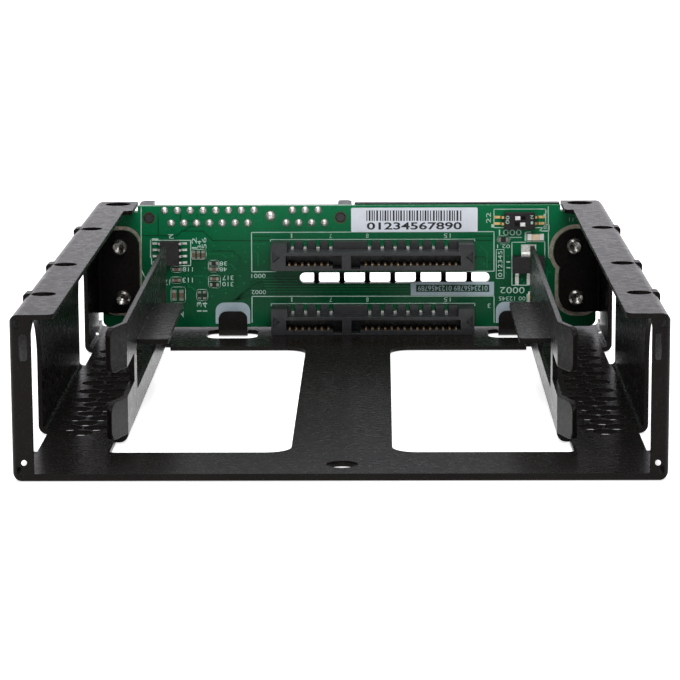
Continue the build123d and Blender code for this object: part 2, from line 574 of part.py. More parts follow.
# ----------------------------------------------------------------- rear plug
# Combined data and power plug of the drive format, standing on the board's back.
with BuildPart() as rear_plug:
    with BuildSketch(Plane.XZ.offset(-BOARD_Y1)) as base:
        with Locations((PLUG_X, PLUG_Z)):
            Rectangle(2 * PLUG_HALF, 4.6)
    extrude(amount=-2.9)
    for s in (-1, 1):
        with BuildSketch(Plane.XY.offset(PLUG_Z - 2.45)) as arm:
            with BuildLine() as al:
                xo, xi = PLUG_X + s * PLUG_HALF, PLUG_X + s * (PLUG_HALF - 2.7)
                Polyline((xo, BOARD_Y1), (xo, PLUG_Y1 - 1.2), (xo - s * 0.8, PLUG_Y1), (xi + s * 0.4, PLUG_Y1),
                         (xi, PLUG_Y1 - 0.8), (xi, BOARD_Y1), close=True)
            make_face()
        extrude(amount=4.9)
        # keyway down the inner face of each arm
        with BuildSketch(Plane.XZ.offset(-(BOARD_Y1 + 2.9))) as way:
            with Locations((xi, PLUG_Z - 0.2)):
                Rectangle(1.6, 1.9)
        extrude(amount=-9, mode=Mode.SUBTRACT)
    # tongues: signal and power, each with its short upright key
    for (x0, x1, kx) in ((PLUG_X + 7.6, PLUG_X + 17.9, PLUG_X + 7.6), (PLUG_X - 17.9, PLUG_X + 3.2, PLUG_X + 2.0)):
        with BuildSketch(Plane.XZ.offset(-(BOARD_Y1 + 2.9))) as tongue:
            with Locations(((x0 + x1) / 2, PLUG_Z + 0.1)):
                Rectangle(x1 - x0, 1.2)
            with Locations((kx + 0.6, PLUG_Z + 0.6)):
                Rectangle(1.2, 1.8)
        extrude(amount=-(PLUG_Y1 - 1.2 - BOARD_Y1 - 2.9))
    # locating pegs through the board
    with BuildSketch(Plane.XZ.offset(-(BOARD_Y0 + 0.2))) as pegs:
        with Locations(*PEGS):
            Circle(0.85)
    extrude(amount=-1.6)
save(rear_plug.part, "rear_plug_housing")

with BuildPart() as plug_contacts:
    xs = [PLUG_X + 9.6 + PITCH * k for k in range(7) if PLUG_X + 9.6 + PITCH * k < PLUG_X + 17.5]
    xs += [PLUG_X - 17.1 + PITCH * k for k in range(15)]
    for x in xs:
        with BuildSketch(Plane.XZ.offset(-(BOARD_Y1 + 2.92))) as pad:
            with Locations((x, PLUG_Z - 0.62)):
                Rectangle(0.84, 0.24)
        extrude(amount=-4.4)
save(plug_contacts.part, "rear_plug_contacts")

# soldered pin ends of the rear plug, domed, on the front face of the board
with BuildPart() as solder:
    for (px, pz) in PLUG_PINS:
        with BuildSketch(Plane(origin=(px, 0, pz), x_dir=(1, 0, 0), z_dir=(0, 0, 1))) as dome:
            with BuildLine() as dl:
                Polyline((0, BOARD_Y1), (0.36, BOARD_Y1), (0.36, BOARD_Y0 - 0.02), (0.72, BOARD_Y0 - 0.02))
                Spline((0.72, BOARD_Y0 - 0.02), (0.55, BOARD_Y0 - 0.34), (0.26, BOARD_Y0 - 0.56))
                Polyline((0.26, BOARD_Y0 - 0.56), (0, BOARD_Y0 - 0.6), (0, BOARD_Y1))
            make_face()
        revolve(axis=Axis((px, 0, pz), (0, 1, 0)))
save(solder.part, "rear_plug_solder")

with BuildPart() as board_lock:
    with BuildSketch(Plane(origin=(PLUG_X + 5.13, 0, 23.9), x_dir=(1, 0, 0), z_dir=(0, 0, 1))) as lockd:
        with BuildLine() as lkl:
            Polyline((0, BOARD_Y1), (0.38, BOARD_Y1), (0.38, BOARD_Y0 - 0.02), (0.93, BOARD_Y0 - 0.02))
            Spline((0.93, BOARD_Y0 - 0.02), (0.72, BOARD_Y0 - 0.4), (0.3, BOARD_Y0 - 0.62))
            Polyline((0.3, BOARD_Y0 - 0.62), (0, BOARD_Y0 - 0.65), (0, BOARD_Y1))
        make_face()
    revolve(axis=Axis((PLUG_X + 5.13, 0, 23.9), (0, 1, 0)))
save(board_lock.part, "plug_ground_pin")

# --------------------------------------------------------- mode switch (two way)
with BuildPart() as switch_body:
    with BuildSketch(Plane.XZ.offset(-SW_Y0)) as sb:
        with Locations(((SW_X0 + SW_X1) / 2, (SW_Z0 + SW_Z1) / 2)):
            RectangleRounded(SW_X1 - SW_X0, SW_Z1 - SW_Z0, 0.15)
    extrude(amount=-(BOARD_Y0 - SW_Y0))
    with BuildSketch(Plane.XZ.offset(-(SW_Y0 - 0.2))) as ss:
        for z in SLIDER_Z:
            with Locations(((SLOT_X0 + SLOT_X1) / 2, z)):
                Rectangle(SLOT_X1 - SLOT_X0, 0.84)
    extrude(amount=-1.1, mode=Mode.SUBTRACT)
save(switch_body.part, "mode_switch_body")

for i, z in enumerate(SLIDER_Z):
    x0 = SLOT_X0 + 0.05 if i == 0 else SLOT_X1 - 0.05 - SLIDER_LEN
    with BuildPart() as slider:
        with BuildSketch(Plane.XZ.offset(-(SW_Y0 - 0.3))) as sk:
            with Locations((x0 + SLIDER_LEN / 2, z)):
                Rectangle(SLIDER_LEN, 0.72)
        extrude(amount=-1.1)
        chamfer(slider.edges().group_by(Axis.Y)[0], 0.08)
    save(slider.part, "mode_slider_%d" % (i + 1))


def gull_leads(xs_sides, zs, width, foot, y_mid):
    """Gull-wing leads: xs_sides holds (body edge x, outward sign)."""
    with BuildPart() as leads:
        for (xe, s) in xs_sides:
            for z in zs:
                with BuildSketch(Plane.XY.offset(z - width / 2)) as lead:
                    with BuildLine() as ld:
                        Polyline((xe, y_mid), (xe + s * 0.45, y_mid), (xe + s * 0.75, BOARD_Y0 - 0.22),
                                 (xe + s * foot, BOARD_Y0 - 0.22), (xe + s * foot, BOARD_Y0 - 0.01),
                                 (xe + s * 0.6, BOARD_Y0 - 0.01), (xe + s * 0.3, y_mid + 0.2),
                                 (xe, y_mid + 0.2), close=True)
                    make_face()
                extrude(amount=width)
    return leads.part


save(gull_leads(((SW_X1, 1), (SW_X0, -1)), SLIDER_Z, 0.5, 2.0, BOARD_Y0 - 0.85), "mode_switch_leads")

# ------------------------------------------------------------ memory chip
FL_X0, FL_X1, FL_Z0, FL_Z1 = -37.6, -33.7, 14.05, 18.95
with BuildPart() as memory_chip:
    with BuildSketch(Plane.XZ.offset(-(BOARD_Y0 - 0.15))) as mc:
        with Locations(((FL_X0 + FL_X1) / 2, (FL_Z0 + FL_Z1) / 2)):
            Rectangle(FL_X1 - FL_X0, FL_Z1 - FL_Z0)
    extrude(amount=1.45, taper=4)
    with BuildSketch(Plane.XZ.offset(-(BOARD_Y0 - 1.55))) as dot:
        with Locations((FL_X1 - 0.8, FL_Z0 + 0.8)):
            Circle(0.3)
    extrude(amount=0.3, mode=Mode.SUBTRACT)
save(memory_chip.part, "memory_chip")
save(gull_leads(((FL_X1 - 0.12, 1), (FL_X0 + 0.12, -1)),
                [(FL_Z0 + FL_Z1) / 2 - 1.905 + 1.27 * k for k in range(4)], 0.45, 1.6, BOARD_Y0 - 0.85),
     "memory_chip_leads")

# ------------------------------------------------------ voltage regulator
RG_X0, RG_X1, RG_Z0, RG_Z1 = 32.5, 39.0, 12.3, 15.8
with BuildPart() as regulator:
    with BuildSketch(Plane.XZ.offset(-(BOARD_Y0 - 0.1))) as rg:
        with Locations(((RG_X0 + RG_X1) / 2, (RG_Z0 + RG_Z1) / 2)):
            Rectangle(RG_X1 - RG_X0, RG_Z1 - RG_Z0)
    extrude(amount=1.6, taper=4)
save(regulator.part, "voltage_regulator")
with BuildPart() as regulator_leads:
    for (xc, w, z0, z1) in ((35.75, 3.0, RG_Z1 - 0.12, 18.0), (33.45, 0.72, 9.9, RG_Z0 + 0.12),
                            (35.75, 0.72, 9.9, RG_Z0 + 0.12), (38.05, 0.72, 9.9, RG_Z0 + 0.12)):
        up = z1 > 16
        ze, s = (RG_Z1 - 0.12, 1) if up else (RG_Z0 + 0.12, -1)
        zf = z1 if up else z0
        with BuildSketch(Plane.YZ.offset(xc - w / 2)) as rl2:
            with BuildLine() as rll:
                Polyline((BOARD_Y0 - 0.9, ze), (BOARD_Y0 - 0.9, ze + s * 0.5), (BOARD_Y0 - 0.25, ze + s * 0.85),
                         (BOARD_Y0 - 0.25, zf), (BOARD_Y0 - 0.01, zf), (BOARD_Y0 - 0.01, ze + s * 0.65),
                         (BOARD_Y0 - 0.65, ze + s * 0.3), (BOARD_Y0 - 0.65, ze), close=True)
            make_face()
        extrude(amount=w)
save(regulator_leads.part, "voltage_regulator_leads")

# --------------------------------------------------- chip parts on the front
# (x, z, length, width, along): along is "x" or "z"
CAPS = [(-30.9, 16.08, 1.3, 0.6, "z"), (-29.96, 16.08, 1.3, 0.6, "z"), (-29.02, 16.08, 1.3, 0.6, "z"),
        (-26.92, 13.27, 1.3, 0.6, "x"), (-26.86, 11.31, 1.3, 0.6, "x"), (-34.37, 13.23, 1.3, 0.6, "x"),
        (-34.44, 11.01, 1.3, 0.6, "x"), (-34.85, 8.0, 1.6, 0.8, "z"), (-33.45, 8.0, 1.6, 0.8, "z")]
RESISTORS = [(-26.92, 14.4, 1.3, 0.6, "x"), (-26.86, 10.12, 1.3, 0.6, "x"), (-29.85, 8.0, 1.2, 0.6, "z"),
             (-28.81, 8.0, 1.2, 0.6, "z"), (30.71, 19.01, 1.6, 0.8, "x")]


def chip_bodies(items, height):
    with BuildPart() as bodies:
        for (x, z, ln, wd, along) in items:
            dx, dz = (ln * 0.62, wd) if along == "x" else (wd, ln * 0.62)
            with BuildSketch(Plane.XZ.offset(-(BOARD_Y0 - 0.03))) as cb:
                with Locations((x, z)):
                    Rectangle(dx, dz)
            extrude(amount=height)
    return bodies.part


def chip_terminals(items, height):
    with BuildPart() as ends:
        for (x, z, ln, wd, along) in items:
            for s in (-1, 1):
                off = s * ln * 0.5
                px, pz = (x + off, z) if along == "x" else (x, z + off)
                dx, dz = (ln * 0.36, wd * 1.06) if along == "x" else (wd * 1.06, ln * 0.36)
                with BuildSketch(Plane.XZ.offset(-(BOARD_Y0 - 0.01))) as ct:
                    with Locations((px, pz)):
                        RectangleRounded(dx, dz, 0.06)
                extrude(amount=height)
    return ends.part


save(chip_bodies(CAPS, 0.55), "chip_capacitors")
save(chip_bodies(RESISTORS, 0.4), "chip_resistors")
save(chip_terminals(CAPS + RESISTORS, 0.47), "chip_terminals")

# ---------------------------------------------------------- activity lights
LEDS = [(37.1, 19.5, 2.4, 1.2, "x"), (36.1, 7.5, 1.6, 0.8, "z")]
save(chip_bodies(LEDS, 0.8), "activity_leds")
save(chip_terminals(LEDS, 0.42), "activity_led_terminals")

# ---------------------------------------------------------------- label
with BuildPart() as label:
    with BuildSketch(Plane.XZ.offset(-(BOARD_Y0 - 0.01))) as lb:
        with Locations((13.03, 23.02)):
            RectangleRounded(25.1, 4.85, 0.3)
    extrude(amount=0.1)
save(label.part, "serial_label")

# ------------------------------------------------------ parts on the back
with BuildPart() as controller_chip:
    with BuildSketch(Plane.XZ.offset(-(BOARD_Y1 + 0.12))) as cc:
        with Locations((-27.0, 11.5)):
            Rectangle(10.0, 10.0)
    extrude(amount=-1.4, taper=3)
save(controller_chip.part, "raid_controller_chip")

with BuildPart() as controller_leads:
    for k in range(16):
        o = -3.75 + 0.5 * k
        for (dx, dz, w, h) in ((o, 5.4, 0.22, 1.0), (o, -5.4, 0.22, 1.0), (5.4, o, 1.0, 0.22), (-5.4, o, 1.0, 0.22)):
            with BuildSketch(Plane.XZ.offset(-(BOARD_Y1 + 0.01))) as cl:
                with Locations((-27.0 + dx, 11.5 + dz)):
                    Rectangle(w, h)
            extrude(amount=-0.2)
save(controller_leads.part, "raid_controller_leads")

with BuildPart() as crystal:
    with BuildSketch(Plane.XZ.offset(-(BOARD_Y1 + 0.02))) as xt:
        with Locations((-37.5, 12.0)):
            RectangleRounded(3.2, 5.0, 0.5)
    extrude(amount=-0.9)
    with BuildSketch(Plane.XZ.offset(-(BOARD_Y1 + 0.92))) as xt2:
        with Locations((-37.5, 12.0)):
            RectangleRounded(2.6, 4.4, 0.5)
    extrude(amount=-0.15)
save(crystal.part, "clock_crystal")

with BuildPart() as inductor:
    with BuildSketch(Plane.XZ.offset(-(BOARD_Y1 + 0.02))) as idk:
        with Locations((35.5, 20.5)):
            RectangleRounded(4.2, 4.2, 0.9)
    extrude(amount=-1.8)
save(inductor.part, "power_inductor")
print("done")
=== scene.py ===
import bpy
import math
import random
from mathutils import Matrix, Vector


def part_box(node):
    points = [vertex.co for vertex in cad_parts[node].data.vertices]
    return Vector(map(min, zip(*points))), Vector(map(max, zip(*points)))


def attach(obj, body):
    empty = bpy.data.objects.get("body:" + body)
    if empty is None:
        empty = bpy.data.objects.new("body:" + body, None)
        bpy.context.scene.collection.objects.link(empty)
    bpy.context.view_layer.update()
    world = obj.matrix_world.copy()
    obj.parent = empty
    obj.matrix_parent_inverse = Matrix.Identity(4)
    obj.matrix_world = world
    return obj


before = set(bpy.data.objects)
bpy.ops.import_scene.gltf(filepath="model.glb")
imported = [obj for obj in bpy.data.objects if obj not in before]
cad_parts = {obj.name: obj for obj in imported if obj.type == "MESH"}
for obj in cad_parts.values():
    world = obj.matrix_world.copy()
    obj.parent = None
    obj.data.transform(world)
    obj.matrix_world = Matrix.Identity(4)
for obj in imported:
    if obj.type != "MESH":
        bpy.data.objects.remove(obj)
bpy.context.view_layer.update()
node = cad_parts
random.seed(7)
MM = 0.001
SHIFT = -70.2                      # part frame Y = drawn Y + SHIFT, in mm

# ---------------------------------------------------------------- camera
# position and basis in the drawn frame, millimetres; 680 x 680 view
CAM = Vector((6.49747, -426.46532, 98.20291))
R = Vector((0.999888, 0.014093, -0.005021))
F = Vector((-0.014756, 0.984336, -0.175684))
U = Vector((0.002466, 0.175740, 0.984433))
FOC = 2827.485


def on_plane(px, py, y):
    """(X, Z) in mm of the view's pixel on the upright plane at drawn depth y."""
    d = F + R * ((px - 340) / FOC) + U * ((340 - py) / FOC)
    t = (y - CAM.y) / d.y
    return CAM.x + t * d.x, CAM.z + t * d.z


# ------------------------------------------------------------- materials
def material(name):
    m = bpy.data.materials.new(name)
    m.use_nodes = True
    nt = m.node_tree
    return m, nt, nt.nodes["Principled BSDF"]


def link(nt, a, b):
    nt.links.new(a, b)


def coords(nt, stretch=(1, 1, 1)):
    tc = nt.nodes.new("ShaderNodeTexCoord")
    mp = nt.nodes.new("ShaderNodeMapping")
    mp.inputs["Scale"].default_value = stretch
    link(nt, tc.outputs["Object"], mp.inputs["Vector"])
    return mp.outputs["Vector"]


def noise(nt, vec, scale, detail=3.0, rough=0.55):
    n = nt.nodes.new("ShaderNodeTexNoise")
    n.inputs["Scale"].default_value = scale
    n.inputs["Detail"].default_value = detail
    n.inputs["Roughness"].default_value = rough
    link(nt, vec, n.inputs["Vector"])
    return n.outputs["Fac"]


def span(nt, fac, lo, hi, a=0.3, b=0.7):
    r = nt.nodes.new("ShaderNodeMapRange")
    r.inputs["From Min"].default_value = a
    r.inputs["From Max"].default_value = b
    r.inputs["To Min"].default_value = lo
    r.inputs["To Max"].default_value = hi
    link(nt, fac, r.inputs["Value"])
    return r.outputs["Result"]


def blend_colour(nt, fac, c1, c2):
    mx = nt.nodes.new("ShaderNodeMix")
    mx.data_type = "RGBA"
    mx.inputs["A"].default_value = (*c1, 1) if not hasattr(c1, "node") else (0, 0, 0, 1)
    if hasattr(c1, "node"):
        link(nt, c1, mx.inputs["A"])
    mx.inputs["B"].default_value = (*c2, 1) if not hasattr(c2, "node") else (0, 0, 0, 1)
    if hasattr(c2, "node"):
        link(nt, c2, mx.inputs["B"])
    link(nt, fac, mx.inputs["Factor"])
    return mx.outputs["Result"]


def bump(nt, bsdf, height, strength, distance, edge=0.0):
    b = nt.nodes.new("ShaderNodeBump")
    b.inputs["Strength"].default_value = strength
    b.inputs["Distance"].default_value = distance
    link(nt, height, b.inputs["Height"])
    if edge:
        e = nt.nodes.new("ShaderNodeBevel")
        e.samples = 4
        e.inputs["Radius"].default_value = edge
        link(nt, e.outputs["Normal"], b.inputs["Normal"])
    link(nt, b.outputs["Normal"], bsdf.inputs["Normal"])
    return b


def finish_of(name, c1, c2, patch, rough, metal=0.0, spec=0.5, grain=0.0, grain_amp=0.0,
              bump_at=0.0, bump_by=0.0, bump_mm=0.0, edge=0.0, coat=0.0, coat_rough=0.1, stretch=(1, 1, 1)):
    """A finish with slow patches of tone, a fine grain, uneven gloss and a fine relief."""
    m, nt, bs = material(name)
    v = coords(nt, stretch)
    slow = span(nt, noise(nt, v, patch, 5.0, 0.6), 0.0, 1.0)
    col = blend_colour(nt, slow, c1, c2)
    if grain:
        g = span(nt, noise(nt, v, grain, 2.0, 0.7), 0.0, grain_amp, 0.35, 0.75)
        col = blend_colour(nt, g, col, tuple(min(1.0, 3.2 * x + 0.02) for x in c2))
    link(nt, col, bs.inputs["Base Color"])
    link(nt, span(nt, noise(nt, v, patch * 3.1, 4.0), rough[0], rough[1]), bs.inputs["Roughness"])
    bs.inputs["Metallic"].default_value = metal
    bs.inputs["Specular IOR Level"].default_value = spec
    if coat:
        bs.inputs["Coat Weight"].default_value = coat
        bs.inputs["Coat Roughness"].default_value = coat_rough
    if bump_at:
        bump(nt, bs, noise(nt, v, bump_at, 3.0, 0.6), bump_by, bump_mm * MM, edge)
    return m


def powder_coat():
    """Black textured powder coat: fine pebbled relief, faint speckle, tone lifted a little on edges."""
    m, nt, bs = material("powder_coat_black")
    v = coords(nt)
    slow = span(nt, noise(nt, v, 45.0, 4.0, 0.6), 0.0, 1.0)
    col = blend_colour(nt, slow, (0.0050, 0.0041, 0.0036), (0.0082, 0.0069, 0.0062))
    speck = span(nt, noise(nt, v, 3400.0, 2.0, 0.8), 0.0, 0.7, 0.58, 0.74)
    col = blend_colour(nt, speck, col, (0.020, 0.018, 0.019))
    link(nt, col, bs.inputs["Base Color"])
    link(nt, span(nt, noise(nt, v, 900.0, 3.0), 0.24, 0.33), bs.inputs["Roughness"])
    bs.inputs["Specular IOR Level"].default_value = 0.05
    vor = nt.nodes.new("ShaderNodeTexVoronoi")
    vor.inputs["Scale"].default_value = 2300.0
    link(nt, v, vor.inputs["Vector"])
    add = nt.nodes.new("ShaderNodeMath"); add.operation = "ADD"
    link(nt, vor.outputs["Distance"], add.inputs[0])
    link(nt, noise(nt, v, 3000.0, 3.0, 0.7), add.inputs[1])
    bump(nt, bs, add.outputs["Value"], 0.17, 0.018 * MM, 0.22 * MM)
    return m


def solder_mask():
    """Green solder mask over copper and glass cloth."""
    m, nt, bs = material("solder_mask_green")
    v = coords(nt)
    slow = span(nt, noise(nt, v, 60.0, 5.0, 0.6), 0.0, 1.0)
    col = blend_colour(nt, slow, (0.0002, 0.052, 0.0185), (0.0004, 0.084, 0.0290))
    # the weave of the glass cloth under the mask
    wx = nt.nodes.new("ShaderNodeTexWave"); wx.bands_direction = "X"
    wx.inputs["Scale"].default_value = 420.0; wx.inputs["Distortion"].default_value = 0.6
    wz = nt.nodes.new("ShaderNodeTexWave"); wz.bands_direction = "Z"
    wz.inputs["Scale"].default_value = 420.0; wz.inputs["Distortion"].default_value = 0.6
    link(nt, v, wx.inputs["Vector"]); link(nt, v, wz.inputs["Vector"])
    mul = nt.nodes.new("ShaderNodeMath"); mul.operation = "MULTIPLY"
    link(nt, wx.outputs["Fac"], mul.inputs[0]); link(nt, wz.outputs["Fac"], mul.inputs[1])
    cloth = span(nt, mul.outputs["Value"], 0.0, 0.22, 0.0, 1.0)
    col = blend_colour(nt, cloth, col, (0.0003, 0.040, 0.0135))
    # painted light: the mask is lightened towards the top and left darker low down, standing in for the light from
    # above
    sep = nt.nodes.new("ShaderNodeSeparateXYZ")
    link(nt, v, sep.inputs["Vector"])
    col = blend_colour(nt, span(nt, sep.outputs["Z"], 0.0, 0.62, 0.014, 0.026), col, (0.0006, 0.215, 0.076))
    link(nt, col, bs.inputs["Base Color"])
    link(nt, span(nt, noise(nt, v, 500.0, 4.0), 0.20, 0.29), bs.inputs["Roughness"])
    bs.inputs["Specular IOR Level"].default_value = 0.09
    bs.inputs["Coat Weight"].default_value = 0.02
    bs.inputs["Coat Roughness"].default_value = 0.16
    bump(nt, bs, noise(nt, v, 1400.0, 3.0), 0.25, 0.012 * MM, 0.08 * MM)
    return m


M = {}
M["coat"] = powder_coat()
M["mask"] = solder_mask()
M["resin"] = finish_of("socket_resin", (0.010, 0.0105, 0.0115), (0.018, 0.019, 0.0205), 240, (0.32, 0.46), spec=0.45,
                       grain=5200, grain_amp=0.25, bump_at=4200, bump_by=0.35, bump_mm=0.012, edge=0.07 * MM)
M["chip"] = finish_of("chip_resin", (0.0055, 0.0045, 0.0045), (0.012, 0.010, 0.0105), 500, (0.40, 0.56), spec=0.3,
                      grain=7000, grain_amp=0.22, bump_at=6000, bump_by=0.4, bump_mm=0.010, edge=0.05 * MM)
M["end_cap"] = finish_of("chip_end_cap", (0.16, 0.165, 0.14), (0.34, 0.35, 0.31), 1500, (0.36, 0.52), metal=0.6,
                         bump_at=3800, bump_by=0.5, bump_mm=0.012, edge=0.04 * MM)
# painted shade: a darker copy of the gold plating for the socket contacts, standing in for the shade inside the
# sockets
M["gold_painted_shade"] = finish_of("gold_plating_shaded", (0.20, 0.13, 0.07), (0.36, 0.25, 0.14), 900, (0.30, 0.46), metal=0.8,
                           bump_at=3500, bump_by=0.3, bump_mm=0.008, edge=0.03 * MM)
M["gold"] = finish_of("gold_plating", (0.62, 0.40, 0.16), (0.86, 0.62, 0.30), 900, (0.22, 0.40), metal=1.0,
                      bump_at=3500, bump_by=0.3, bump_mm=0.008, edge=0.03 * MM)
M["tin"] = finish_of("tinned_lead", (0.50, 0.50, 0.48), (0.86, 0.86, 0.83), 1400, (0.24, 0.42), metal=1.0,
                     bump_at=3800, bump_by=0.4, bump_mm=0.010, edge=0.03 * MM)
M["solder"] = finish_of("solder_tin", (0.80, 0.76, 0.73), (0.97, 0.96, 0.94), 1500, (0.34, 0.50), metal=0.85,
                        bump_at=2600, bump_by=0.6, bump_mm=0.03, edge=0.05 * MM)
M["steel"] = finish_of("nickel_screw", (0.36, 0.34, 0.31), (0.74, 0.72, 0.68), 1100, (0.22, 0.42), metal=1.0,
                       bump_at=2400, bump_by=0.35, bump_mm=0.012, edge=0.06 * MM, stretch=(1, 0.15, 1))
M["nylon"] = finish_of("slider_nylon", (0.80, 0.80, 0.77), (0.93, 0.93, 0.91), 1500, (0.38, 0.55),
                       bump_at=5000, bump_by=0.3, bump_mm=0.008, edge=0.05 * MM)
M["paper"] = finish_of("label_stock", (0.70, 0.74, 0.83), (0.78, 0.82, 0.90), 300, (0.50, 0.64),
                       grain=9000, grain_amp=0.25, bump_at=5200, bump_by=0.25, bump_mm=0.006)
M["ink"] = finish_of("label_ink", (0.006, 0.006, 0.008), (0.014, 0.014, 0.018), 1800, (0.45, 0.60),
                     bump_at=6000, bump_by=0.2, bump_mm=0.004)
M["silk"] = finish_of("legend_ink", (0.28, 0.46, 0.37), (0.44, 0.62, 0.53), 900, (0.48, 0.62),
                      grain=8000, grain_amp=0.2, bump_at=5200, bump_by=0.4, bump_mm=0.008)
# painted shade: white legend ink coloured blue-grey, standing in for the shade over the printed blocks
M["silk_blue"] = finish_of("legend_ink_block_painted_shade", (0.29, 0.38, 0.43), (0.38, 0.47, 0.52), 500, (0.45, 0.60),
                           grain=7000, grain_amp=0.12, bump_at=3000, bump_by=0.35, bump_mm=0.010)
M["track"] = finish_of("mask_gap_dark", (0.0003, 0.036, 0.0120), (0.0005, 0.050, 0.0170), 300, (0.24, 0.34), spec=0.1,
                       bump_at=1500, bump_by=0.2, bump_mm=0.008)
M["track_lit"] = finish_of("mask_track_light", (0.0020, 0.125, 0.040), (0.0040, 0.160, 0.055), 300, (0.24, 0.34), spec=0.1,
                           bump_at=1500, bump_by=0.2, bump_mm=0.008)
M["copper"] = finish_of("bare_ring", (0.045, 0.035, 0.020), (0.085, 0.065, 0.038), 1200, (0.34, 0.50), metal=0.6,
                        bump_at=3500, bump_by=0.4, bump_mm=0.010)
M["flux"] = finish_of("flux_stain", (0.030, 0.030, 0.014), (0.07, 0.06, 0.03), 1600, (0.25, 0.45),
                      bump_at=3500, bump_by=0.4, bump_mm=0.010)
M["ceramic"] = finish_of("chip_ceramic", (0.070, 0.036, 0.022), (0.125, 0.075, 0.048), 1500, (0.36, 0.55),
                         grain=9000, grain_amp=0.3, bump_at=5000, bump_by=0.4, bump_mm=0.010, edge=0.03 * MM)
M["lens"] = finish_of("led_body", (0.60, 0.47, 0.30), (0.78, 0.66, 0.46), 1500, (0.18, 0.32),
                      bump_at=4000, bump_by=0.3, bump_mm=0.008, edge=0.04 * MM, coat=0.5)
M["ferrite"] = finish_of("ferrite_core", (0.020, 0.019, 0.019), (0.045, 0.043, 0.042), 700, (0.46, 0.66),
                         grain=5200, grain_amp=0.5, bump_at=3600, bump_by=0.5, bump_mm=0.02, edge=0.08 * MM)
M["can"] = finish_of("crystal_can", (0.58, 0.58, 0.57), (0.80, 0.80, 0.79), 500, (0.20, 0.34), metal=1.0,
                     bump_at=2600, bump_by=0.25, bump_mm=0.010, edge=0.08 * MM)
M["pad"] = finish_of("tinned_pad", (0.26, 0.225, 0.17), (0.46, 0.42, 0.35), 700, (0.26, 0.46), metal=0.9,
                     bump_at=2200, bump_by=0.5, bump_mm=0.02)

FINISH = {
    "chassis": "coat", "rear_plate": "coat", "backplane_board": "mask", "ground_pads": "pad",
    "board_screws": "steel", "lower_drive_socket": "resin", "upper_drive_socket": "resin",
    "lower_socket_contacts": "gold_painted_shade", "upper_socket_contacts": "gold_painted_shade", "lower_socket_tails": "tin",
    "upper_socket_tails": "tin", "rear_plug_housing": "resin", "rear_plug_contacts": "gold",
    "rear_plug_solder": "solder", "plug_ground_pin": "solder", "mode_switch_body": "chip",
    "mode_slider_1": "nylon", "mode_slider_2": "nylon", "mode_switch_leads": "gold",
    "memory_chip": "chip", "memory_chip_leads": "tin", "voltage_regulator": "chip",
    "voltage_regulator_leads": "tin", "chip_capacitors": "ceramic", "chip_resistors": "chip",
    "chip_terminals": "end_cap", "activity_leds": "lens", "activity_led_terminals": "solder",
    "serial_label": "paper", "raid_controller_chip": "chip", "raid_controller_leads": "tin",
    "clock_crystal": "can", "power_inductor": "ferrite",
}
for name, ob in node.items():
    m = M[FINISH[name]]
    if ob.data.materials:
        for i in range(len(ob.data.materials)):
            ob.data.materials[i] = m
    else:
        ob.data.materials.append(m)


